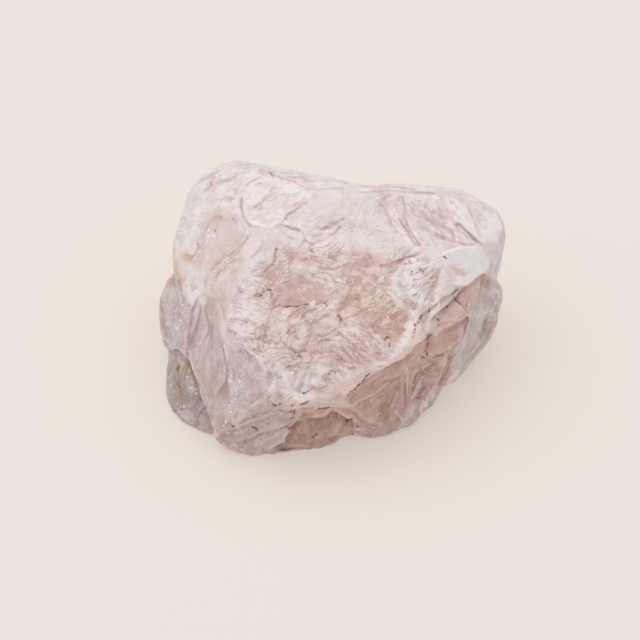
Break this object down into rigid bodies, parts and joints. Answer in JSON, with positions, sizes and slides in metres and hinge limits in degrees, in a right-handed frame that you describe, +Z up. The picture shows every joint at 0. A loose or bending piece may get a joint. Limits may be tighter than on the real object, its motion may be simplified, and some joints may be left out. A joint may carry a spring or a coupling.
{
  "type": "rough morganite stone",
  "caption": "Rough pale pink beryl: a blunt wedge-shaped stone with a crumpled broad front, glassy side facets, stepped ledges under its lower lip and a flat face to rest on.",
  "frame": {"origin": "under the middle of the stone's box, on the surface it rests on", "axes": "+X along the stone's longest side, to the right of its broad front; +Z up; the broad front faces -Y and up"},
  "size_m": [0.035, 0.03, 0.0189],
  "materials": {
    "beryl": "milky pale pink beryl, glassy where it broke cleanly and frosted white where it is hackly"
  },
  "bodies": {
    "root": {"morganite": "beryl"}
  },
  "joints": []
}
